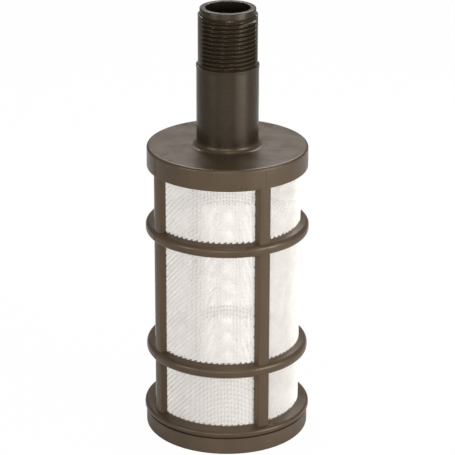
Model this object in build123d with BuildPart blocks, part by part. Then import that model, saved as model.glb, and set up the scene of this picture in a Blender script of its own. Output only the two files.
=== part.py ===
from build123d import *
from math import asin, degrees
import os

# Suction filter: a threaded spigot on a round head, a ribbed cage round a woven screen,
# and a plugged end cap. The origin is the centre of the cap's underside, +Z up the spigot.

# Heights above the underside
overall_height = 191.0
thread_top = 188.3
thread_bottom = 166.3
thread_ring_height = 1.1
head_top = 130.6
head_plate = 3.2
skirt_bottom = 121.2
upper_hoop_bottom = 91.5
lower_hoop_bottom = 35.8
flange_bottom = 8.6

# Spigot
bore_radius = 9.45
lead_in_radius = 11.9
thread_major_radius = 13.22
thread_ring_radius = 13.45
neck_radius = 13.3
foot_fillet = 2.1
lead_in_chamfer = 0.5
bore_mouth_chamfer = 0.4
thread_start_chamfer = 0.7

# Head
head_radius = 34.7
head_rim_fillet = 1.1
skirt_edge_fillet = 0.4

# Hoops and bottom flange, each deeper at the screen than at its rounded nose
hoop_radius = 35.4
hoop_root_height = 5.5
hoop_nose_height = 4.5
hoop_nose_fillet = 1.6
flange_radius = 36.45
flange_root_height = 3.3
flange_nose_height = 2.2
flange_top_fillet = 1.0
flange_bottom_fillet = 0.4

# Ribs, drafted to their outer face, which is a shallow roof
rib_count = 4
rib_radius = 34.3
rib_root_width = 6.8
rib_outer_width = 5.0
rib_roof_height = 0.3
rib_root_sink = 1.0
window_turn = 360 / rib_count
first_rib_angle = window_turn / 2

# Woven screen: warp ridges stand out in the cage's windows, and gaps pass through the wall
screen_radius = 31.75
screen_wall = 0.4
ridge_step_angle = 4.0
ridge_width = 0.8
ridge_height = 0.15
ridge_sink = 0.1
ridge_end_clearance = 0.3
ridge_rib_clearance = 0.6
gap_width = 1.1
gap_columns = 5
gap_column_angle = 3 * ridge_step_angle
gap_level_count = 2
gap_share_of_window = 0.32

# End cap: a wall below the flange, a land that meets it and a plug inside the screen
cap_radius = 35.8
cap_floor = 2.6
cap_edge_fillet = 1.1
cap_land_radius = 34.4
cap_groove_height = 1.1
plug_wall = 2.4
plug_depth = 4.4
plug_clearance = 0.1
plug_lead_chamfer = 0.8

# Heights and radii that follow from the ones above
plate_underside = head_top - head_plate
screen_height = plate_underside - flange_bottom
flange_top = flange_bottom + flange_root_height
plug_radius = screen_radius - screen_wall - plug_clearance
plug_inner_radius = plug_radius - plug_wall
window_rows = [
    (flange_top, lower_hoop_bottom),
    (lower_hoop_bottom + hoop_root_height, upper_hoop_bottom),
    (upper_hoop_bottom + hoop_root_height, skirt_bottom),
]


def corner(profile, radius, height):
    """Return the vertex of a profile nearest a radius and height."""
    return profile.vertices().sort_by_distance((radius, height))[0]


def ring_section(bottom, radius, root_height, nose_height, top_fillet, bottom_fillet):
    """Return the section of a ring round the screen, its top sloping down to a rounded nose."""
    with BuildSketch(Plane.XZ) as ring_profile:
        with BuildLine():
            Polyline(
                (screen_radius, bottom),
                (radius, bottom),
                (radius, bottom + nose_height),
                (screen_radius, bottom + root_height),
                close=True,
            )
        make_face()
        fillet(corner(ring_profile, radius, bottom + nose_height), top_fillet)
        fillet(corner(ring_profile, radius, bottom), bottom_fillet)
    return ring_profile.sketch


# Cage: spigot, head, skirt, hoops, flange and ribs in one moulding
with BuildPart() as cage:
    with BuildSketch(Plane.XZ) as head_profile:
        with BuildLine():
            Polyline(
                (bore_radius, plate_underside),
                (bore_radius, overall_height),
                (lead_in_radius, overall_height),
                (lead_in_radius, thread_top),
                (thread_major_radius, thread_top),
                (thread_major_radius, thread_bottom),
                (thread_ring_radius, thread_bottom),
                (thread_ring_radius, thread_bottom - thread_ring_height),
                (neck_radius, thread_bottom - thread_ring_height),
                (neck_radius, head_top),
                (head_radius, head_top),
                (head_radius, skirt_bottom),
                (screen_radius, skirt_bottom),
                (screen_radius, plate_underside),
                close=True,
            )
        make_face()
        fillet(corner(head_profile, neck_radius, head_top), foot_fillet)
        fillet(corner(head_profile, head_radius, head_top), head_rim_fillet)
        fillet(corner(head_profile, head_radius, skirt_bottom), skirt_edge_fillet)
        chamfer(corner(head_profile, lead_in_radius, overall_height), lead_in_chamfer)
        chamfer(corner(head_profile, bore_radius, overall_height), bore_mouth_chamfer)
        chamfer(corner(head_profile, thread_major_radius, thread_top), thread_start_chamfer)
    revolve(axis=Axis.Z)
    for hoop_bottom in (upper_hoop_bottom, lower_hoop_bottom):
        hoop_section = ring_section(
            hoop_bottom,
            hoop_radius,
            hoop_root_height,
            hoop_nose_height,
            hoop_nose_fillet,
            hoop_nose_fillet,
        )
        revolve(hoop_section, axis=Axis.Z)
    flange_section = ring_section(
        flange_bottom,
        flange_radius,
        flange_root_height,
        flange_nose_height,
        flange_top_fillet,
        flange_bottom_fillet,
    )
    revolve(flange_section, axis=Axis.Z)
    with BuildSketch(Plane.XY.offset(flange_bottom + flange_nose_height / 2)):
        with PolarLocations(0, rib_count, start_angle=first_rib_angle):
            Polygon(
                (screen_radius - rib_root_sink, -rib_root_width / 2),
                (rib_radius - rib_roof_height, -rib_outer_width / 2),
                (rib_radius, 0),
                (rib_radius - rib_roof_height, rib_outer_width / 2),
                (screen_radius - rib_root_sink, rib_root_width / 2),
                align=None,
            )
        Circle(screen_radius, mode=Mode.SUBTRACT)
    extrude(amount=skirt_bottom + skirt_edge_fillet - flange_bottom - flange_nose_height / 2)

# Woven screen: one tube from the cap's land up to the head's plate
rib_half_angle = degrees(asin((rib_root_width / 2 + ridge_rib_clearance) / screen_radius))
window_half_angle = window_turn / 2 - rib_half_angle
ridges_each_side = int(window_half_angle / ridge_step_angle - 0.5) + 1
ridge_radius = screen_radius + (ridge_height - ridge_sink) / 2
ridge_places = [
    Location((0, 0, 0), (0, 0, (index + 0.5) * ridge_step_angle))
    for index in range(-ridges_each_side, ridges_each_side)
]
gap_places = [
    Location((0, 0, 0), (0, 0, (column - (gap_columns - 1) / 2) * gap_column_angle))
    for column in range(gap_columns)
]

with BuildPart() as filter_screen:
    with BuildSketch(Plane.XY.offset(flange_bottom)):
        Circle(screen_radius)
        Circle(screen_radius - screen_wall, mode=Mode.SUBTRACT)
    extrude(amount=screen_height)
    for row_bottom, row_top in window_rows:
        row_height = row_top - row_bottom
        with BuildSketch(Plane.XY.offset(row_bottom + ridge_end_clearance)):
            with Locations(ridge_places):
                with PolarLocations(ridge_radius, rib_count):
                    Rectangle(ridge_height + ridge_sink, ridge_width)
        extrude(amount=row_height - 2 * ridge_end_clearance)
        gap_levels = [
            (0, 0, row_bottom + row_height * (level + 0.5) / gap_level_count)
            for level in range(gap_level_count)
        ]
        with Locations(gap_levels):
            with Locations(gap_places):
                with PolarLocations(screen_radius, rib_count):
                    Box(
                        4 * screen_wall,
                        gap_width,
                        row_height * gap_share_of_window,
                        mode=Mode.SUBTRACT,
                    )

# End cap: closed underneath, hollow above
with BuildPart() as end_cap:
    with BuildSketch(Plane.XZ) as cap_profile:
        with BuildLine():
            Polyline(
                (0, 0),
                (cap_radius, 0),
                (cap_radius, flange_bottom - cap_groove_height),
                (cap_land_radius, flange_bottom - cap_groove_height),
                (cap_land_radius, flange_bottom),
                (plug_radius, flange_bottom),
                (plug_radius, flange_bottom + plug_depth),
                (plug_inner_radius, flange_bottom + plug_depth),
                (plug_inner_radius, cap_floor),
                (0, cap_floor),
                close=True,
            )
        make_face()
        fillet(corner(cap_profile, cap_radius, 0), cap_edge_fillet)
        chamfer(corner(cap_profile, plug_radius, flange_bottom + plug_depth), plug_lead_chamfer)
    revolve(axis=Axis.Z)

os.makedirs("parts", exist_ok=True)

cage.part.label = "cage"
export_step(cage.part, "parts/cage.step")

filter_screen.part.label = "filter_screen"
export_step(filter_screen.part, "parts/filter_screen.step")

end_cap.part.label = "end_cap"
export_step(end_cap.part, "parts/end_cap.step")
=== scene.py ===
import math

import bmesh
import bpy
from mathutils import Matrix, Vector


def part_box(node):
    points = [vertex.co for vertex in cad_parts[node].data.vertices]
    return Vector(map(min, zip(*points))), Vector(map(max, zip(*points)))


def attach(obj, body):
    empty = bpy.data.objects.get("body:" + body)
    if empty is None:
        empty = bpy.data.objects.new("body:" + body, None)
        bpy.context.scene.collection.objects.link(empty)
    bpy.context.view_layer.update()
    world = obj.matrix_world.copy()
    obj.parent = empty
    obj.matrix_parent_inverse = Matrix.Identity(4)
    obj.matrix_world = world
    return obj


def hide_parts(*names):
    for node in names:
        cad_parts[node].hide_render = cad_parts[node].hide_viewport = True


bl_info = {
    "name": "Suction Filter",
    "version": (1, 0, 0),
    "blender": (4, 5, 0),
    "location": "View3D > Sidebar > Suction Filter",
    "description": "Dresses the suction filter: moulded cage, cut thread, woven screen, studio",
    "category": "Object",
}

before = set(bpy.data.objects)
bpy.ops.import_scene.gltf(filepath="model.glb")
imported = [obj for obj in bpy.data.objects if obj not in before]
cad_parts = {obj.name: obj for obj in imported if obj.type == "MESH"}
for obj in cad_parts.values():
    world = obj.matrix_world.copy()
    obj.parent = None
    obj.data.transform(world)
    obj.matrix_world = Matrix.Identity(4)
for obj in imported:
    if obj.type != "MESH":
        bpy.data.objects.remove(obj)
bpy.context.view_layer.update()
cage_low, cage_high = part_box("cage")
screen_low, screen_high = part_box("filter_screen")
cap_low, cap_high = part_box("end_cap")

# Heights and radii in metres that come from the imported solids
TOP = cage_high[2]
FLANGE_BOTTOM = cage_low[2]
FLANGE_RADIUS = (cage_high[0] - cage_low[0]) / 2
CAP_RADIUS = (cap_high[0] - cap_low[0]) / 2
PLATE_UNDERSIDE = screen_high[2]
PLUG_TOP = cap_high[2]
MM = 0.001
SLIVER = 5e-6  # edges shorter than this are closed up where solids are united, in metres
MERGE = 1e-7  # points nearer than this are made one, in metres
NEAR = 1e-6  # points this near a height or radius count as on it, in metres
SHARP_DEGREES = 32  # faces that meet at more than this are shaded with an edge
ROUND_STEPS = 160  # faces round a hoop or the cap
HEAD_STEPS = 192  # faces round the head and its thread
THREAD_ROWS = 12  # rows of faces in one pitch of the thread


def length(name, description, default):
    """Return a length property in metres."""
    return bpy.props.FloatProperty(
        name=name, description=description, default=default, min=0.0, precision=5, unit="LENGTH"
    )


def angle(name, description, degrees):
    """Return an angle property, its default given in degrees."""
    return bpy.props.FloatProperty(
        name=name, description=description, default=math.radians(degrees), subtype="ANGLE"
    )


def number(name, description, default, low=0.0, high=1000.0):
    """Return a plain number property."""
    return bpy.props.FloatProperty(
        name=name, description=description, default=default, min=low, max=high
    )


def count(name, description, default):
    """Return a whole number property."""
    return bpy.props.IntProperty(name=name, description=description, default=default, min=1)


def colour(name, description, default):
    """Return a colour property."""
    return bpy.props.FloatVectorProperty(
        name=name, description=description, default=default, size=3, subtype="COLOR", min=0, max=1
    )


class SpigotSizes(bpy.types.PropertyGroup):
    """Sizes of the threaded spigot."""

    bore_radius: length("Bore radius", "Radius of the spigot's bore", 9.45 * MM)
    lead_in_radius: length("Lead-in radius", "Radius of the collar above the thread", 11.9 * MM)
    thread_top: length("Thread top", "Height of the thread's first turn", 188.3 * MM)
    thread_bottom: length("Thread bottom", "Height where the thread runs out", 166.3 * MM)
    crest_radius: length("Crest radius", "Major radius of the thread", 13.22 * MM)
    root_radius: length("Root radius", "Minor radius of the thread", 12.06 * MM)
    undercut_radius: length("Undercut radius", "Radius of the groove above the thread", 12.16 * MM)
    relief_radius: length("Relief radius", "Radius of the smooth bands on the thread", 12.68 * MM)
    pitch: length("Pitch", "Distance between crests", 25.4 / 14 * MM)
    relief_turn: angle("Relief turn", "Where the first smooth band is centred", 24.8)
    relief_half_angle: angle("Relief half angle", "Half the width of a smooth band", 24)
    ring_radius: length("Ring radius", "Radius of the ring under the thread", 13.45 * MM)
    ring_height: length("Ring height", "Height of the ring under the thread", 1.1 * MM)
    ring_slope: length("Ring slope", "Height of the slope from the ring to the neck", 0.3 * MM)
    neck_radius: length("Neck radius", "Radius of the plain neck", 13.3 * MM)
    foot_fillet: length("Foot fillet", "Fillet where the neck meets the head", 2.1 * MM)
    top_round: length("Top rounding", "Rounding of the spigot's top edge", 0.5 * MM)
    bore_round: length("Bore rounding", "Rounding of the bore's top edge", 0.4 * MM)


class CageSizes(bpy.types.PropertyGroup):
    """Sizes of the head, hoops, flange and ribs."""

    screen_radius: length("Screen radius", "Radius where the cage meets the screen", 31.75 * MM)
    grip: length("Grip", "How far the plastic reaches through the weave", 0.45 * MM)
    head_top: length("Head top", "Height of the head's top face", 130.6 * MM)
    head_radius: length("Head radius", "Radius of the head", 34.7 * MM)
    head_rim: length("Head rim", "Rounding of the head's top edge", 1.1 * MM)
    skirt_bottom: length("Skirt bottom", "Height of the skirt's lower edge", 121.2 * MM)
    skirt_edge: length("Skirt edge", "Rounding of the skirt's lower edge", 0.4 * MM)
    upper_hoop: length("Upper hoop", "Height of the upper hoop's underside", 91.5 * MM)
    lower_hoop: length("Lower hoop", "Height of the lower hoop's underside", 35.8 * MM)
    hoop_radius: length("Hoop radius", "Radius of the hoops' noses", 35.4 * MM)
    hoop_root: length("Hoop root", "Height of a hoop at the screen", 5.5 * MM)
    hoop_nose: length("Hoop nose", "Height of a hoop's nose", 4.5 * MM)
    hoop_round: length("Hoop rounding", "Rounding of a hoop's nose", 1.6 * MM)
    flange_root: length("Flange root", "Height of the flange at the screen", 3.3 * MM)
    flange_nose: length("Flange nose", "Height of the flange's rim", 2.2 * MM)
    flange_round: length("Flange rounding", "Rounding of the flange's top edge", 1.0 * MM)
    flange_edge: length("Flange edge", "Rounding of the flange's lower edge", 0.4 * MM)
    rib_count: count("Ribs", "Number of ribs", 4)
    rib_radius: length("Rib radius", "Radius of the ribs' outer faces", 34.3 * MM)
    rib_root: length("Rib root", "Width of a rib at the screen", 6.8 * MM)
    rib_face: length("Rib face", "Width of a rib's outer face", 5.0 * MM)
    rib_roof: length("Rib roof", "How far the middle of a rib's face stands out", 0.3 * MM)
    rib_edge: length("Rib rounding", "Rounding of a rib's long edges", 0.35 * MM)
    rib_sink: length("Rib sink", "How far a rib's ends reach into flange and skirt", 1.2 * MM)
    parting_width: length("Parting width", "Width of the mould's parting lines", 0.3 * MM)
    parting_proud: length("Parting height", "How far the parting lines stand out", 0.12 * MM)
    parting_run: length("Parting run", "How far a line runs on to a hoop's rounding", 0.4 * MM)
    parting_gap: length("Parting gap", "Height left clear under the skirt's line", 0.3 * MM)


class ScreenSizes(bpy.types.PropertyGroup):
    """Sizes of the woven screen."""

    warps: count("Warps", "Upright yarns round the screen", 320)
    repeat: count("Repeat", "Yarns in one repeat of the twill", 4)
    yarn_radius: length("Yarn radius", "Radius of one yarn", 0.19 * MM)
    crimp: length("Crimp", "How far a yarn swings in and out", 0.18 * MM)
    creep: length("Creep", "How far plastic has crept along the twill", 0.8 * MM)
    creep_below: length("Creep below", "How far it has crept below a hoop", 1.3 * MM)
    creep_proud: length("Creep height", "How far the crept plastic stands out", 0.12 * MM)
    tooth_root: length("Tooth root", "How far a tooth starts inside its hoop or rib", 0.2 * MM)
    window_sink: length("Window sink", "How far the weave runs on behind an edge", 0.8 * MM)


class CapSizes(bpy.types.PropertyGroup):
    """Sizes of the end cap."""

    floor: length("Floor", "Thickness of the cap's floor", 2.6 * MM)
    groove: length("Groove", "Height of the groove under the flange", 1.1 * MM)
    land_radius: length("Land radius", "Radius of the land that meets the flange", 34.4 * MM)
    edge: length("Edge", "Rounding of the cap's lower edge", 1.1 * MM)
    groove_edge: length("Groove edge", "Rounding of the edge under the groove", 0.25 * MM)
    plug_radius: length("Plug radius", "Outer radius of the plug", 31.0 * MM)
    plug_wall: length("Plug wall", "Wall of the plug", 2.3 * MM)
    plug_lead: length("Plug lead", "Chamfer round the plug's mouth", 0.8 * MM)


class Finishes(bpy.types.PropertyGroup):
    """Colours and gloss of the materials."""

    cage_colour: colour("Cage colour", "Bronze of the ribs and skirt", (0.061, 0.0415, 0.025))
    cage_gloss: number("Cage roughness", "Roughness of the ribs and skirt", 0.32, 0, 1)
    # The head's colour is darkened as painted shade on the spigot; it is not the plastic's own
    # tone
    head_painted_shade_colour: colour("Head colour", "Darker bronze of the head", (0.019, 0.0132, 0.0072))
    head_gloss: number("Head roughness", "Roughness of the polished head", 0.27, 0, 1)
    cap_colour: colour("Cap colour", "Bronze of the cap", (0.07, 0.049, 0.032))
    cap_gloss: number("Cap roughness", "Roughness of the cap", 0.46, 0, 1)
    yarn_colour: colour("Yarn colour", "White nylon", (0.93, 0.885, 0.84))


class StageSizes(bpy.types.PropertyGroup):
    """Camera, floor and lamps."""

    image_pixels: number("Image", "Width and height of the image in pixels", 455)
    focal_pixels: number("Focal length", "Focal length in pixels", 2069, 1, 10000)
    axis_column: number("Axis column", "Pixel column of the filter's axis", 227.3)
    aim_row: number("Aim row", "Pixel row of the point that the camera aims at", 204.6)
    camera_pitch: angle("Camera pitch", "How far the camera looks down", 20.65)
    camera_turn: angle("Camera turn", "How far the camera stands round the filter", 17.0)
    camera_roll: angle("Camera roll", "How far the camera leans to its left", 0.17)
    camera_distance: length("Camera distance", "Camera to the filter's axis", 896 * MM)
    aim_height: length("Aim height", "Height on the axis that the camera aims at", 102.7 * MM)
    sensor_width: number("Sensor width", "Width of the camera's sensor in millimetres", 36.0)
    floor_half: length("Floor", "Half the width of the floor", 3.0)
    floor_tone: number("Floor tone", "Grey of the floor under the lamps", 0.6, 0, 1)
    floor_seen: number("Floor seen", "Share of the floor that the camera sees white", 0.98, 0, 1)
    world_strength: number("World strength", "Strength of the white surroundings", 0.2)


# Shared tools


def turned(bm, profile, closed=True, steps=ROUND_STEPS):
    """Spin a profile of (radius, height) points round Z."""
    points = [bm.verts.new((radius, 0, height)) for radius, height in profile]
    edges = [bm.edges.new(pair) for pair in zip(points, points[1:])]
    if closed:
        edges.append(bm.edges.new((points[-1], points[0])))
    bmesh.ops.spin(
        bm,
        geom=points + edges,
        axis=(0, 0, 1),
        cent=(0, 0, 0),
        angle=math.tau,
        steps=steps,
        use_merge=True,
    )


def round_ring_edge(bm, radius, height, amount, segments=4):
    """Round the ring of edges that runs at one radius and height."""

    def on_ring(vert):
        return abs(vert.co.xy.length - radius) < NEAR and abs(vert.co.z - height) < NEAR

    ring = [edge for edge in bm.edges if on_ring(edge.verts[0]) and on_ring(edge.verts[1])]
    bmesh.ops.bevel(
        bm,
        geom=ring,
        offset=amount,
        offset_type="OFFSET",
        segments=segments,
        profile=0.5,
        affect="EDGES",
        material=-1,
    )


def close_up(bm):
    """Merge doubles and turn every face outwards."""
    bmesh.ops.remove_doubles(bm, verts=bm.verts, dist=MERGE)
    bmesh.ops.recalc_face_normals(bm, faces=bm.faces)


def make_piece(bm, name, smooth_degrees=SHARP_DEGREES):
    """Turn a bmesh into an object that rides on the root body."""
    mesh = bpy.data.meshes.new(name)
    for face in bm.faces:
        face.smooth = True
    bm.to_mesh(mesh)
    bm.free()
    mesh.set_sharp_from_angle(angle=math.radians(smooth_degrees))
    piece = bpy.data.objects.new(name, mesh)
    bpy.context.scene.collection.objects.link(piece)
    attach(piece, "root")
    return piece


def weigh_normals(piece):
    """Shade flat faces flat beside their rounded edges."""
    weighted = piece.modifiers.new("weighted", "WEIGHTED_NORMAL")
    weighted.keep_sharp = True


def join_solids(base, others):
    """Unite closed meshes into the base piece."""
    for other in others:
        union = base.modifiers.new("union", "BOOLEAN")
        union.operation = "UNION"
        union.solver = "MANIFOLD"
        union.object = other
    graph = bpy.context.evaluated_depsgraph_get()
    mesh = bpy.data.meshes.new_from_object(base.evaluated_get(graph))
    mesh.materials.clear()
    joined = bmesh.new()
    joined.from_mesh(mesh)
    bmesh.ops.remove_doubles(joined, verts=joined.verts, dist=SLIVER)
    joined.to_mesh(mesh)
    joined.free()
    base.modifiers.clear()
    base.data = mesh
    for other in others:
        bpy.data.objects.remove(other)


# Materials

# Most values of a noise texture lie between these two
NOISE_LOW = 0.3
NOISE_HIGH = 0.7


def new_material(name):
    """Return a node material with its tree and its main shader."""
    material = bpy.data.materials.new(name)
    material.use_nodes = True
    tree = material.node_tree
    return material, tree, tree.nodes["Principled BSDF"]


def noise(tree, coordinates, scale, detail, roughness):
    """Return a noise texture on the given coordinates."""
    node = tree.nodes.new("ShaderNodeTexNoise")
    node.inputs["Scale"].default_value = scale
    node.inputs["Detail"].default_value = detail
    node.inputs["Roughness"].default_value = roughness
    tree.links.new(coordinates, node.inputs["Vector"])
    return node


def ramp(tree, factor, low, high):
    """Return a noise texture's values as a ramp between two colours."""
    node = tree.nodes.new("ShaderNodeValToRGB")
    node.color_ramp.elements[0].position = NOISE_LOW
    node.color_ramp.elements[0].color = (*low, 1)
    node.color_ramp.elements[1].position = NOISE_HIGH
    node.color_ramp.elements[1].color = (*high, 1)
    tree.links.new(factor, node.inputs["Fac"])
    return node


def remap(tree, value, low, high, from_low=NOISE_LOW, from_high=NOISE_HIGH):
    """Return a value mapped to a new range."""
    node = tree.nodes.new("ShaderNodeMapRange")
    node.inputs["From Min"].default_value = from_low
    node.inputs["From Max"].default_value = from_high
    node.inputs["To Min"].default_value = low
    node.inputs["To Max"].default_value = high
    tree.links.new(value, node.inputs["Value"])
    return node


def shade(rgb, factor):
    """Return a colour made darker or lighter."""
    return tuple(min(1.0, channel * factor) for channel in rgb)


def height_share(tree, place, low, high):
    """Return a value that rises from 0 to 1 between two heights."""
    parts = tree.nodes.new("ShaderNodeSeparateXYZ")
    tree.links.new(place, parts.inputs["Vector"])
    return remap(tree, parts.outputs["Z"], 0.0, 1.0, low, high).outputs["Result"]


def between(tree, share, first, second, colours):
    """Return a mix of two linked colours or values."""
    node = tree.nodes.new("ShaderNodeMix")
    node.data_type = "RGBA" if colours else "FLOAT"
    # The Mix node has its own pair of inputs and its own output for each type
    first_input = 6 if colours else 2
    output = 2 if colours else 0
    tree.links.new(share, node.inputs["Factor"])
    tree.links.new(first, node.inputs[first_input])
    tree.links.new(second, node.inputs[first_input + 1])
    return node.outputs[output]


def flow_marks(tree, flow, base):
    """Return a plastic's colour with the faint marks of its flow."""
    return ramp(tree, flow, shade(base, 0.86), shade(base, 1.14)).outputs["Color"]


def uneven_gloss(tree, patches, low, high):
    """Return a roughness that changes a little from patch to patch."""
    return remap(tree, patches, low, high).outputs["Result"]


def moulded_plastic(name, base, roughness, polish_and_painted_shade=None):
    """Return semi-gloss moulded plastic with faint flow marks and a fine skin.

    A polished part of the mould, its colour darkened as painted shade, is given as its colour,
    roughness, low and high height.
    """
    material, tree, shader = new_material(name)
    place = tree.nodes.new("ShaderNodeTexCoord").outputs["Object"]
    stretch = tree.nodes.new("ShaderNodeMapping")
    stretch.inputs["Scale"].default_value = (1.0, 1.0, 0.25)
    tree.links.new(place, stretch.inputs["Vector"])
    flow = noise(tree, stretch.outputs["Vector"], scale=60, detail=4, roughness=0.6)
    flow = flow.outputs["Fac"]
    patches = noise(tree, place, scale=140, detail=3, roughness=0.55).outputs["Fac"]
    surface = flow_marks(tree, flow, base)
    shine = uneven_gloss(tree, patches, roughness - 0.05, roughness + 0.06)
    # Above the polish height the colour is darkened as painted shade on the spigot; the lower
    # roughness there is real polish
    if polish_and_painted_shade:
        painted_shade_colour_above, roughness_above, low, high = polish_and_painted_shade
        share = height_share(tree, place, low, high)
        painted_shade_above = flow_marks(tree, flow, painted_shade_colour_above)
        shine_above = uneven_gloss(tree, patches, roughness_above - 0.03, roughness_above + 0.04)
        surface = between(tree, share, surface, painted_shade_above, True)
        shine = between(tree, share, shine, shine_above, False)
    tree.links.new(surface, shader.inputs["Base Color"])
    tree.links.new(shine, shader.inputs["Roughness"])
    shader.inputs["Specular IOR Level"].default_value = 0.36
    shader.inputs["Specular Tint"].default_value = (1.0, 0.86, 0.7, 1)
    skin = noise(tree, place, scale=900, detail=2, roughness=0.5)
    bump = tree.nodes.new("ShaderNodeBump")
    bump.inputs["Strength"].default_value = 0.12
    bump.inputs["Distance"].default_value = 0.1 * MM
    tree.links.new(skin.outputs["Fac"], bump.inputs["Height"])
    tree.links.new(bump.outputs["Normal"], shader.inputs["Normal"])
    return material


def nylon_yarn(name, base):
    """Return white nylon yarn, a little see-through and faintly uneven."""
    material, tree, shader = new_material(name)
    place = tree.nodes.new("ShaderNodeTexCoord").outputs["Object"]
    uneven = noise(tree, place, scale=220, detail=3, roughness=0.6)
    tint = ramp(tree, uneven.outputs["Fac"], shade(base, 0.94), shade(base, 1.04))
    tree.links.new(tint.outputs["Color"], shader.inputs["Base Color"])
    shader.inputs["Roughness"].default_value = 0.42
    shader.inputs["Subsurface Weight"].default_value = 0.25
    shader.inputs["Subsurface Radius"].default_value = (MM, MM, MM)
    shader.inputs["Subsurface Scale"].default_value = 0.5
    return material


# Spigot, head, hoops, flange and ribs

# Where the spigot's polish and its painted shade start and are full, in foot fillets above the
# head
POLISH_AND_SHADE_FROM = 0.3
POLISH_AND_SHADE_FULL = 1.5


def thread_radius(sizes, turn, height):
    """Return the thread's radius at an angle and a height.

    The thread runs in under the collar, runs out above the ring and stops at both mould halves.
    """
    crest_flat = 0.72  # share of the wave's height that is kept between its flats
    run_in_pitches = 0.8
    run_out_pitches = 0.6
    relief_edge = math.radians(2.0)
    depth = sizes.crest_radius - sizes.root_radius
    middle = (sizes.crest_radius + sizes.root_radius) / 2
    phase = (height - sizes.thread_bottom) / sizes.pitch - turn / math.tau
    wave = abs((phase % 1.0) * 2 - 1) * 2 - 1
    profile = max(-crest_flat, min(crest_flat, wave)) / crest_flat
    run_in = min(1.0, (sizes.thread_top - height) / (run_in_pitches * sizes.pitch))
    run_out = min(1.0, (height - sizes.thread_bottom) / (run_out_pitches * sizes.pitch))
    cut = middle + profile * depth / 2
    cut = sizes.root_radius + (cut - sizes.root_radius) * max(0.0, run_in)
    cut = sizes.crest_radius + (cut - sizes.crest_radius) * max(0.0, run_out)
    offset = abs((turn - sizes.relief_turn + math.pi / 2) % math.pi - math.pi / 2)
    blend = max(0.0, min(1.0, (sizes.relief_half_angle - offset) / relief_edge + 0.5))
    return cut + (sizes.relief_radius - cut) * blend


def head_and_spigot(spigot, cage):
    """Return the turned head and spigot, with the thread cut into it."""
    rows = int((spigot.thread_top - spigot.thread_bottom) / spigot.pitch * THREAD_ROWS)
    step = (spigot.thread_top - spigot.thread_bottom) / rows
    thread = [(spigot.crest_radius, spigot.thread_top - row * step) for row in range(1, rows)]
    inner = cage.screen_radius - cage.grip
    profile = [
        (spigot.bore_radius, PLATE_UNDERSIDE),
        (spigot.bore_radius, TOP),
        (spigot.lead_in_radius, TOP),
        (spigot.lead_in_radius, spigot.thread_top),
        (spigot.undercut_radius, spigot.thread_top),
        *thread,
        (spigot.ring_radius, spigot.thread_bottom),
        (spigot.ring_radius, spigot.thread_bottom - spigot.ring_height),
        (spigot.neck_radius, spigot.thread_bottom - spigot.ring_height - spigot.ring_slope),
        (spigot.neck_radius, cage.head_top),
        (cage.head_radius, cage.head_top),
        (cage.head_radius, cage.skirt_bottom),
        (inner, cage.skirt_bottom),
        (inner, PLATE_UNDERSIDE),
    ]
    bm = bmesh.new()
    turned(bm, profile, steps=HEAD_STEPS)
    close_up(bm)
    round_ring_edge(bm, spigot.neck_radius, cage.head_top, spigot.foot_fillet, 6)
    round_ring_edge(bm, cage.head_radius, cage.head_top, cage.head_rim, 5)
    round_ring_edge(bm, cage.head_radius, cage.skirt_bottom, cage.skirt_edge, 3)
    round_ring_edge(bm, spigot.lead_in_radius, TOP, spigot.top_round, 3)
    round_ring_edge(bm, spigot.bore_radius, TOP, spigot.bore_round, 3)
    for vert in bm.verts:
        on_crest = abs(vert.co.xy.length - spigot.crest_radius) < NEAR
        if on_crest and spigot.thread_bottom < vert.co.z < spigot.thread_top:
            turn = math.atan2(vert.co.y, vert.co.x)
            radius = thread_radius(spigot, turn, vert.co.z)
            vert.co.xy = vert.co.xy.normalized() * radius
    bmesh.ops.recalc_face_normals(bm, faces=bm.faces)
    return make_piece(bm, "cage_moulding")


def ring_solid(cage, name, bottom, radius, root, nose, top_round, bottom_round):
    """Return a hoop or flange, its top sloping down to its rounded nose."""
    inner = cage.screen_radius - cage.grip
    profile = [(inner, bottom), (radius, bottom), (radius, bottom + nose), (inner, bottom + root)]
    bm = bmesh.new()
    turned(bm, profile)
    close_up(bm)
    round_ring_edge(bm, radius, bottom + nose, top_round, 6)
    round_ring_edge(bm, radius, bottom, bottom_round, 5)
    close_up(bm)
    return make_piece(bm, name)


def rib_solid(cage, name, turn):
    """Return one rib, drafted to a shallow roof and sunk in the flange and skirt."""
    inner = cage.screen_radius - cage.grip
    outline = [
        (inner, -cage.rib_root / 2),
        (cage.rib_radius - cage.rib_roof, -cage.rib_face / 2),
        (cage.rib_radius, 0),
        (cage.rib_radius - cage.rib_roof, cage.rib_face / 2),
        (inner, cage.rib_root / 2),
    ]
    bm = bmesh.new()
    low = FLANGE_BOTTOM + cage.rib_sink
    base = bm.faces.new([bm.verts.new((x, y, low)) for x, y in outline])
    raised = bmesh.ops.extrude_face_region(bm, geom=[base])
    top = [item for item in raised["geom"] if isinstance(item, bmesh.types.BMVert)]
    rise = cage.skirt_bottom + cage.rib_sink - low
    bmesh.ops.translate(bm, verts=top, vec=(0, 0, rise))
    corners = [
        edge
        for edge in bm.edges
        if abs(edge.verts[0].co.z - edge.verts[1].co.z) > rise / 2
        and edge.verts[0].co.x > (inner + cage.rib_radius) / 2
        and abs(edge.verts[0].co.y) > cage.rib_face / 4
    ]
    bmesh.ops.bevel(
        bm,
        geom=corners,
        offset=cage.rib_edge,
        segments=3,
        profile=0.5,
        affect="EDGES",
        material=-1,
    )
    bmesh.ops.rotate(bm, verts=bm.verts, cent=(0, 0, 0), matrix=Matrix.Rotation(turn, 3, "Z"))
    close_up(bm)
    return make_piece(bm, name)


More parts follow.
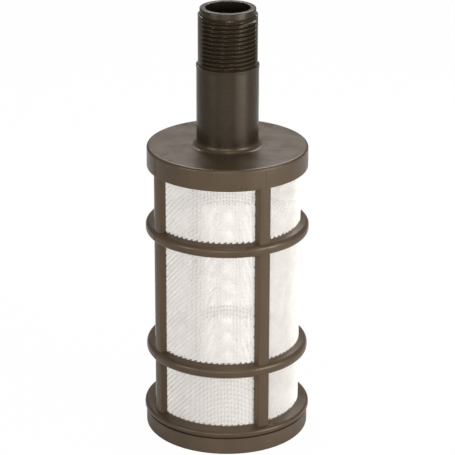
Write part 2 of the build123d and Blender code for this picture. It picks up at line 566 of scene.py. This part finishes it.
def parting_line(cage, name, turn, low, high, radius):
    """Return a thin upright line of plastic that the mould's joint leaves on a face."""
    bm = bmesh.new()
    depth = 1.2 * MM
    bmesh.ops.create_cube(bm, size=1.0)
    place = Matrix.Translation((radius + cage.parting_proud - depth / 2, 0, (low + high) / 2))
    size = Matrix.Diagonal((depth, cage.parting_width, high - low, 1))
    around = Matrix.Rotation(turn, 4, "Z")
    bmesh.ops.transform(bm, matrix=around @ place @ size, verts=bm.verts)
    return make_piece(bm, name)


class FILTER_OT_cage(bpy.types.Operator):
    """Build the cage moulding: spigot, head, hoops, flange and ribs."""

    bl_idname = "filter.cage"
    bl_label = "Cage"

    def execute(self, context):
        spigot = context.scene.filter_spigot
        cage = context.scene.filter_cage
        finish = context.scene.filter_finish
        body = head_and_spigot(spigot, cage)
        rings = [
            ring_solid(
                cage,
                f"hoop_{index}",
                bottom,
                cage.hoop_radius,
                cage.hoop_root,
                cage.hoop_nose,
                cage.hoop_round,
                cage.hoop_round,
            )
            for index, bottom in enumerate((cage.upper_hoop, cage.lower_hoop))
        ]
        rings.append(
            ring_solid(
                cage,
                "flange",
                FLANGE_BOTTOM,
                FLANGE_RADIUS,
                cage.flange_root,
                cage.flange_nose,
                cage.flange_round,
                cage.flange_edge,
            )
        )
        turn = math.tau / cage.rib_count
        ribs = [
            rib_solid(cage, f"rib_{index}", turn * (index + 0.5))
            for index in range(cage.rib_count)
        ]
        run = cage.hoop_nose - 2 * cage.hoop_round + 2 * cage.parting_run
        skirt_low = cage.skirt_bottom + cage.parting_gap
        faces = [(skirt_low, cage.head_top - cage.head_rim, cage.head_radius)]
        for bottom in (cage.upper_hoop, cage.lower_hoop):
            low = bottom + cage.hoop_round - cage.parting_run
            faces.append((low, low + run, cage.hoop_radius))
        lines = [
            parting_line(cage, f"parting_{row}_{index}", turn * (index + 0.5), *face)
            for row, face in enumerate(faces)
            for index in range(cage.rib_count)
        ]
        join_solids(body, rings + ribs + lines)
        body.data.set_sharp_from_angle(angle=math.radians(SHARP_DEGREES))
        weigh_normals(body)
        # The head's darker colour is painted shade on the spigot; its lower roughness is polish
        polish_and_painted_shade = (
            finish.head_painted_shade_colour,
            finish.head_gloss,
            cage.head_top + POLISH_AND_SHADE_FROM * spigot.foot_fillet,
            cage.head_top + POLISH_AND_SHADE_FULL * spigot.foot_fillet,
        )
        body.data.materials.append(
            moulded_plastic("cage_plastic", finish.cage_colour, finish.cage_gloss, polish_and_painted_shade)
        )
        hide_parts("cage")
        return {"FINISHED"}


# Woven screen and the plastic crept into it

TOOTH_HALF = 0.36  # half the width of a tooth's root, as a share of the twill's repeat


def windows(cage, sink):
    """Return the low and high end of each row of windows, run a little into the plastic."""
    return [
        (FLANGE_BOTTOM + cage.flange_root - sink, cage.lower_hoop + sink),
        (cage.lower_hoop + cage.hoop_root - sink, cage.upper_hoop + sink),
        (cage.upper_hoop + cage.hoop_root - sink, cage.skirt_bottom + sink),
    ]


def over_under(sizes, warp, weft):
    """Return how far out a warp yarn lies at a weft yarn, from -1 to 1."""
    return 1.0 if (warp - weft) % sizes.repeat < sizes.repeat / 2 else -1.0


def yarn_section(bm, sizes, centre, normal):
    """Return a three-sided yarn section round a centre."""
    made = bmesh.ops.create_circle(bm, segments=3, radius=sizes.yarn_radius)
    turn = Vector((0, 0, 1)).rotation_difference(normal).to_matrix().to_4x4()
    bmesh.ops.transform(bm, matrix=Matrix.Translation(centre) @ turn, verts=made["verts"])
    return made["verts"]


def copies(bm, steps, angle=0.0, rise=0.0):
    """Copy everything in a bmesh round Z or up Z, a number of times."""
    bmesh.ops.spin(
        bm,
        geom=list(bm.verts) + list(bm.edges) + list(bm.faces),
        axis=(0, 0, 1),
        cent=(0, 0, 0),
        angle=angle * steps,
        dvec=(0, 0, rise),
        steps=steps,
        use_duplicate=True,
    )


def row_span(sizes, step, low, high):
    """Return the first weft of a row of windows and its number of repeats."""
    first = math.floor(low / step)
    return first, math.ceil((high / step - first) / sizes.repeat)


def warp_yarns(sizes, step, middle, low, high):
    """Return a bmesh of the upright yarns in one row of windows."""
    bm = bmesh.new()
    turn = math.tau / sizes.warps
    first, repeats = row_span(sizes, step, low, high)
    for warp in range(sizes.repeat):
        ring = yarn_section(bm, sizes, (middle, 0, first * step), Vector((0, 0, 1)))
        edges = list({edge for vert in ring for edge in vert.link_edges})
        rings = [ring]
        for _ in range(sizes.repeat):
            grown = bmesh.ops.extrude_edge_only(bm, edges=edges)["geom"]
            ring = [item for item in grown if isinstance(item, bmesh.types.BMVert)]
            edges = [item for item in grown if isinstance(item, bmesh.types.BMEdge)]
            edges = [edge for edge in edges if all(vert in ring for vert in edge.verts)]
            bmesh.ops.translate(bm, verts=ring, vec=(0, 0, step))
            rings.append(ring)
        for index, ring in enumerate(rings):
            out = over_under(sizes, warp, first + index) * sizes.crimp / 2
            bmesh.ops.translate(bm, verts=ring, vec=(out, 0, 0))
        yarn = [vert for ring in rings for vert in ring]
        bmesh.ops.rotate(
            bm, verts=yarn, cent=(0, 0, 0), matrix=Matrix.Rotation(warp * turn, 3, "Z")
        )
    copies(bm, repeats - 1, rise=step * sizes.repeat)
    bmesh.ops.remove_doubles(bm, verts=bm.verts, dist=NEAR)
    bmesh.ops.holes_fill(bm, edges=[edge for edge in bm.edges if edge.is_boundary])
    bmesh.ops.recalc_face_normals(bm, faces=bm.faces)
    copies(bm, sizes.warps // sizes.repeat - 1, angle=turn * sizes.repeat)
    return bm


def weft_yarns(sizes, step, middle, low, high):
    """Return a bmesh of the level yarns in one row of windows."""
    bm = bmesh.new()
    turn = math.tau / sizes.warps
    first, repeats = row_span(sizes, step, low, high)
    for weft in range(first, first + sizes.repeat):
        height = weft * step
        section = yarn_section(bm, sizes, (middle, 0, height), Vector((0, 1, 0)))
        edges = list({edge for vert in section for edge in vert.link_edges})
        bmesh.ops.spin(
            bm,
            geom=section + edges,
            axis=(0, 0, 1),
            cent=(0, 0, 0),
            angle=turn * sizes.repeat,
            steps=sizes.repeat,
        )
        for vert in bm.verts:
            if abs(vert.co.z - height) < step / 2:
                warp = round(math.atan2(vert.co.y, vert.co.x) / turn)
                out = -over_under(sizes, warp, weft) * sizes.crimp / 2
                vert.co.xy = vert.co.xy.normalized() * (vert.co.xy.length + out)
    copies(bm, sizes.warps // sizes.repeat - 1, angle=turn * sizes.repeat)
    bmesh.ops.remove_doubles(bm, verts=bm.verts, dist=NEAR)
    bmesh.ops.recalc_face_normals(bm, faces=bm.faces)
    copies(bm, repeats - 1, rise=step * sizes.repeat)
    return bm


def tooth(bm, base, tip, inner, outer):
    """Add one tooth of crept plastic, its base and tip given as (turn, height).

    Its foot is at the inner radius, inside the weave, and its face at the outer one.
    """
    face = bm.faces.new(
        [
            bm.verts.new((inner * math.cos(turn), inner * math.sin(turn), height))
            for turn, height in (*base, tip)
        ]
    )
    raised = bmesh.ops.extrude_face_region(bm, geom=[face])["geom"]
    top = [item for item in raised if isinstance(item, bmesh.types.BMVert)]
    for vert in top:
        vert.co.xy = vert.co.xy.normalized() * outer


def crept_rows(bm, sizes, cage, inner, outer):
    """Add a row of teeth along every hoop, flange and skirt edge that meets the screen.

    The sine makes neighbouring teeth differ a little, here and in the columns.
    """
    pitch = math.tau / sizes.warps * sizes.repeat
    edges = (
        (cage.skirt_bottom, -1, sizes.creep),
        (cage.upper_hoop + cage.hoop_root, 1, sizes.creep),
        (cage.upper_hoop, -1, sizes.creep_below),
        (cage.lower_hoop + cage.hoop_root, 1, sizes.creep),
        (cage.lower_hoop, -1, sizes.creep_below),
        (FLANGE_BOTTOM + cage.flange_root, 1, sizes.creep),
    )
    for row, (height, way, furthest) in enumerate(edges):
        for index in range(sizes.warps // sizes.repeat):
            turn = pitch * (index + row / 3)
            reach = furthest * (0.85 + 0.15 * math.sin(2.3 * index + row))
            low = height - way * sizes.tooth_root
            base = ((turn - TOOTH_HALF * pitch, low), (turn + TOOTH_HALF * pitch, low))
            lean = way * reach / cage.screen_radius
            tooth(bm, base, (turn + lean, height + way * reach), inner, outer)


def crept_columns(bm, sizes, cage, step, inner, outer):
    """Add a column of teeth along both edges of every rib."""
    pitch = step * sizes.repeat
    half = math.asin(cage.rib_root / 2 / cage.screen_radius)
    for rib in range(cage.rib_count):
        middle = math.tau * (rib + 0.5) / cage.rib_count
        for way in (-1, 1):
            edge = middle + way * (half - sizes.tooth_root / cage.screen_radius)
            for low, high in windows(cage, sizes.window_sink):
                for index in range(int((high - low) / pitch)):
                    height = low + pitch * (index + 0.5 + rib / 4)
                    reach = sizes.creep * (0.6 + 0.3 * math.sin(2.9 * index + rib))
                    side = TOOTH_HALF * pitch
                    base = ((edge, height - side), (edge, height + side))
                    tip = (edge + way * reach / cage.screen_radius, height + way * reach)
                    tooth(bm, base, tip, inner, outer)


class FILTER_OT_creep(bpy.types.Operator):
    """Add the teeth of plastic that crept along the twill when the cage was moulded."""

    bl_idname = "filter.creep"
    bl_label = "Crept plastic"

    def execute(self, context):
        sizes = context.scene.filter_screen
        cage = context.scene.filter_cage
        inner = cage.screen_radius - cage.grip
        outer = cage.screen_radius + sizes.creep_proud
        step = math.tau * cage.screen_radius / sizes.warps
        bm = bmesh.new()
        crept_rows(bm, sizes, cage, inner, outer)
        crept_columns(bm, sizes, cage, step, inner, outer)
        bmesh.ops.recalc_face_normals(bm, faces=bm.faces)
        piece = make_piece(bm, "crept_plastic")
        piece.data.materials.append(bpy.data.materials["cage_plastic"])
        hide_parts("cage")
        return {"FINISHED"}


class FILTER_OT_screen(bpy.types.Operator):
    """Weave the screen in the cage's windows as a twill of upright and level yarns."""

    bl_idname = "filter.screen"
    bl_label = "Woven screen"

    def execute(self, context):
        sizes = context.scene.filter_screen
        cage = context.scene.filter_cage
        finish = context.scene.filter_finish
        middle = cage.screen_radius - sizes.yarn_radius - sizes.crimp / 2
        step = math.tau * middle / sizes.warps
        material = nylon_yarn("screen_nylon", finish.yarn_colour)
        rows = windows(cage, sizes.window_sink)
        for row, (low, high) in zip(("lower", "middle", "upper"), rows):
            for yarns, weave in (("warp", warp_yarns), ("weft", weft_yarns)):
                bm = weave(sizes, step, middle, low, high)
                piece = make_piece(bm, f"{row}_{yarns}", 180)
                piece.data.materials.append(material)
                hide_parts("filter_screen")
        return {"FINISHED"}


# End cap


class FILTER_OT_cap(bpy.types.Operator):
    """Turn the end cap with its groove, land and plug."""

    bl_idname = "filter.cap"
    bl_label = "End cap"

    def execute(self, context):
        sizes = context.scene.filter_cap
        finish = context.scene.filter_finish
        base = cap_low[2]
        wall_top = FLANGE_BOTTOM - sizes.groove
        inner = sizes.plug_radius - sizes.plug_wall
        profile = [
            (0, base),
            (CAP_RADIUS, base),
            (CAP_RADIUS, wall_top),
            (sizes.land_radius, wall_top),
            (sizes.land_radius, FLANGE_BOTTOM),
            (sizes.plug_radius, FLANGE_BOTTOM),
            (sizes.plug_radius, PLUG_TOP),
            (inner, PLUG_TOP),
            (inner, sizes.floor),
            (0, sizes.floor),
        ]
        bm = bmesh.new()
        turned(bm, profile, closed=False)
        close_up(bm)
        round_ring_edge(bm, CAP_RADIUS, base, sizes.edge, 5)
        round_ring_edge(bm, CAP_RADIUS, wall_top, sizes.groove_edge, 2)
        round_ring_edge(bm, sizes.plug_radius, PLUG_TOP, sizes.plug_lead, 1)
        close_up(bm)
        piece = make_piece(bm, "end_cap_moulding")
        weigh_normals(piece)
        piece.data.materials.append(
            moulded_plastic("cap_plastic", finish.cap_colour, finish.cap_gloss)
        )
        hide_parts("end_cap")
        return {"FINISHED"}


# Stage

# Degrees right of the camera, degrees up, then distance, width and height in metres, and watts
LAMPS = {
    "key": (60, 8, 0.9, 0.5, 0.4, 5.3),
    "front": (-5, 6, 1.2, 0.9, 0.4, 6.8),
    "fill": (-55, 6, 1.1, 0.5, 0.4, 4.4),
    "back": (175, 50, 0.7, 0.5, 0.4, 5.5),
    "top": (12, 66, 0.8, 0.16, 0.1, 1.0),
    "card": (50, -4, 0.42, 0.3, 0.36, 0.65),
}


def stage_material(name, tone, seen):
    """Return a pale floor that the camera sees as white, also through the weave."""
    material, tree, shader = new_material(name)
    shader.inputs["Base Color"].default_value = (tone, tone, tone, 1)
    shader.inputs["Roughness"].default_value = 0.9
    shader.inputs["Specular IOR Level"].default_value = 0.1
    glow = tree.nodes.new("ShaderNodeEmission")
    glow.inputs["Strength"].default_value = 1.0
    rays = tree.nodes.new("ShaderNodeLightPath")
    most = tree.nodes.new("ShaderNodeMath")
    most.operation = "MAXIMUM"
    tree.links.new(rays.outputs["Is Camera Ray"], most.inputs[0])
    tree.links.new(rays.outputs["Is Transmission Ray"], most.inputs[1])
    share = tree.nodes.new("ShaderNodeMath")
    share.operation = "MULTIPLY"
    share.inputs[1].default_value = seen
    tree.links.new(most.outputs["Value"], share.inputs[0])
    mix = tree.nodes.new("ShaderNodeMixShader")
    tree.links.new(share.outputs["Value"], mix.inputs["Fac"])
    tree.links.new(shader.outputs["BSDF"], mix.inputs[1])
    tree.links.new(glow.outputs["Emission"], mix.inputs[2])
    tree.links.new(mix.outputs["Shader"], tree.nodes["Material Output"].inputs["Surface"])
    return material


def direction(turn, elevation):
    """Return a unit vector towards a compass turn from the camera's front and an elevation."""
    flat = math.cos(elevation)
    return Vector((math.sin(turn) * flat, -math.cos(turn) * flat, math.sin(elevation)))


def add_lamp(name, stage, right, elevation, distance, width, height, watts):
    """Add a soft rectangular lamp, its turn counted to the right of the camera."""
    data = bpy.data.lights.new(name, "AREA")
    data.shape = "RECTANGLE"
    data.size = width
    data.size_y = height
    data.energy = watts
    lamp = bpy.data.objects.new(name, data)
    away = direction(stage.camera_turn + math.radians(right), math.radians(elevation))
    aim = Vector((0, 0, stage.aim_height))
    lamp.location = aim + away * distance
    lamp.rotation_euler = (-away).to_track_quat("-Z", "Y").to_euler()
    lamp.visible_camera = False
    bpy.context.scene.collection.objects.link(lamp)


class FILTER_OT_stage(bpy.types.Operator):
    """Set the pale floor, the soft lamps and the camera."""

    bl_idname = "filter.stage"
    bl_label = "Stage"

    def execute(self, context):
        stage = context.scene.filter_stage
        bm = bmesh.new()
        bmesh.ops.create_grid(bm, x_segments=1, y_segments=1, size=stage.floor_half)
        mesh = bpy.data.meshes.new("floor")
        bm.to_mesh(mesh)
        bm.free()
        floor = bpy.data.objects.new("floor", mesh)
        context.scene.collection.objects.link(floor)
        white = stage_material("floor_white", stage.floor_tone, stage.floor_seen)
        floor.data.materials.append(white)

        world = bpy.data.worlds.new("studio")
        world.use_nodes = True
        context.scene.world = world
        tree = world.node_tree
        back = tree.nodes["Background"]
        back.inputs["Color"].default_value = (1, 1, 1, 1)
        rays = tree.nodes.new("ShaderNodeLightPath")
        strength = tree.nodes.new("ShaderNodeMapRange")
        strength.inputs["To Min"].default_value = stage.world_strength
        strength.inputs["To Max"].default_value = 1.0
        tree.links.new(rays.outputs["Is Camera Ray"], strength.inputs["Value"])
        tree.links.new(strength.outputs["Result"], back.inputs["Strength"])

        for name, lamp in LAMPS.items():
            add_lamp(name, stage, *lamp)

        data = bpy.data.cameras.new("camera")
        camera = bpy.data.objects.new("camera", data)
        half = stage.image_pixels / 2
        data.sensor_width = stage.sensor_width
        data.lens = stage.focal_pixels / stage.image_pixels * data.sensor_width
        data.shift_x = (half - stage.axis_column) / stage.image_pixels
        data.shift_y = (stage.aim_row - half) / stage.image_pixels
        away = direction(stage.camera_turn, stage.camera_pitch)
        camera.location = Vector((0, 0, stage.aim_height)) + away * stage.camera_distance
        level = (-away).to_track_quat("-Z", "Y").to_matrix()
        camera.rotation_euler = (level @ Matrix.Rotation(stage.camera_roll, 3, "Z")).to_euler()
        data.clip_start = 0.01
        context.scene.collection.objects.link(camera)
        context.scene.camera = camera
        context.scene.view_settings.view_transform = "Standard"
        return {"FINISHED"}


class FILTER_PT_panel(bpy.types.Panel):
    """List the filter's sizes and its operators."""

    bl_idname = "FILTER_PT_panel"
    bl_label = "Suction Filter"
    bl_space_type = "VIEW_3D"
    bl_region_type = "UI"
    bl_category = "Suction Filter"

    def draw(self, context):
        for group in POINTERS:
            box = self.layout.box()
            settings = getattr(context.scene, group)
            for name in settings.bl_rna.properties.keys():
                if name not in {"rna_type", "name"}:
                    box.prop(settings, name)
        for operator in OPERATORS:
            self.layout.operator(operator.bl_idname)


OPERATORS = (
    FILTER_OT_cage,
    FILTER_OT_screen,
    FILTER_OT_creep,
    FILTER_OT_cap,
    FILTER_OT_stage,
)
POINTERS = {
    "filter_spigot": SpigotSizes,
    "filter_cage": CageSizes,
    "filter_screen": ScreenSizes,
    "filter_cap": CapSizes,
    "filter_finish": Finishes,
    "filter_stage": StageSizes,
}


def register():
    for group in POINTERS.values():
        bpy.utils.register_class(group)
    for name, group in POINTERS.items():
        setattr(bpy.types.Scene, name, bpy.props.PointerProperty(type=group))
    for item in (*OPERATORS, FILTER_PT_panel):
        bpy.utils.register_class(item)


def unregister():
    for item in reversed((*OPERATORS, FILTER_PT_panel)):
        bpy.utils.unregister_class(item)
    for name in POINTERS:
        delattr(bpy.types.Scene, name)
    for group in reversed(list(POINTERS.values())):
        bpy.utils.unregister_class(group)


def main():
    register()
    bpy.ops.filter.cage()
    bpy.ops.filter.screen()
    bpy.ops.filter.creep()
    bpy.ops.filter.cap()
    bpy.ops.filter.stage()


if __name__ == "__main__":
    main()
